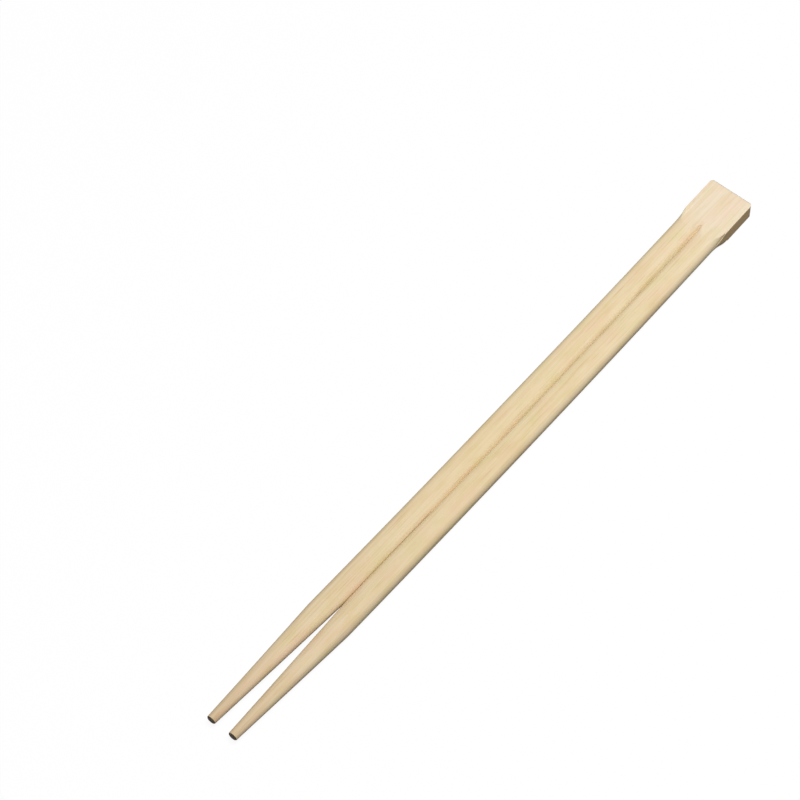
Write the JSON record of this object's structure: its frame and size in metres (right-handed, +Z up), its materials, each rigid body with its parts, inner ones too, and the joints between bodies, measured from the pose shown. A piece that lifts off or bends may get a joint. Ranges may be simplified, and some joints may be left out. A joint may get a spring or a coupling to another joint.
{
  "type": "joined bamboo chopsticks",
  "caption": "Disposable bamboo chopsticks, still joined: square head block, milled groove between the sticks, slit and round tapered tips.",
  "frame": {"origin": "under the middle of the length, on the surface that the pair lies on", "axes": "+X along the sticks towards the head block, +Y across the pair, +Z up through the thickness"},
  "size_m": [0.21, 0.0138, 0.0048],
  "materials": {
    "bamboo": "milled and sanded bare bamboo"
  },
  "bodies": {
    "root": {"joined_chopsticks": "bamboo"}
  },
  "joints": []
}
